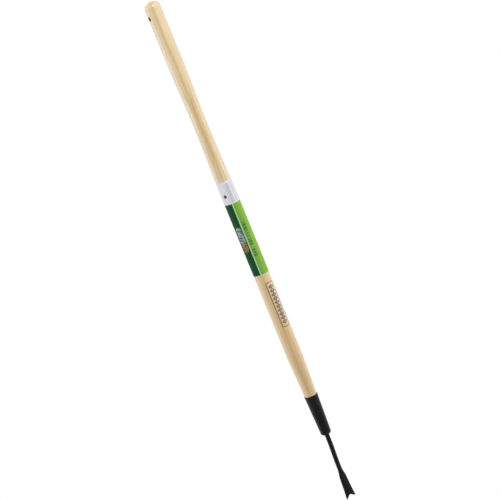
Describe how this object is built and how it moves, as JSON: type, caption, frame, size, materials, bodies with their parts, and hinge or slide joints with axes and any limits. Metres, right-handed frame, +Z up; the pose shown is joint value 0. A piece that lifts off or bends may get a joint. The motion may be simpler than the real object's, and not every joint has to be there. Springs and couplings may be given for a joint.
{
  "type": "stand up weeder",
  "caption": "Long turned wooden handle with a tapered steel ferrule, a round steel rod and a flat forked blade for prising out weeds.",
  "frame": {"origin": "on the handle's axis, level with the tips of the forked blade", "axes": "+Z up the handle from the blade's tips to the domed top, X across the flat blade and along the hang hole, -Y towards the front, where the label's face is"},
  "size_m": [0.032, 0.032, 1.07],
  "materials": {
    "wood": "satin",
    "black_enamel": "satin",
    "green_label": "semi-gloss",
    "white_sticker": "semi-gloss"
  },
  "bodies": {
    "root": {"handle": "wood", "ferrule": "black_enamel", "weeder_head": "black_enamel", "ferrule_weld": "black_enamel", "ferrule_pin": "black_enamel", "product_label": "green_label", "barcode_sticker": "white_sticker"}
  },
  "joints": []
}
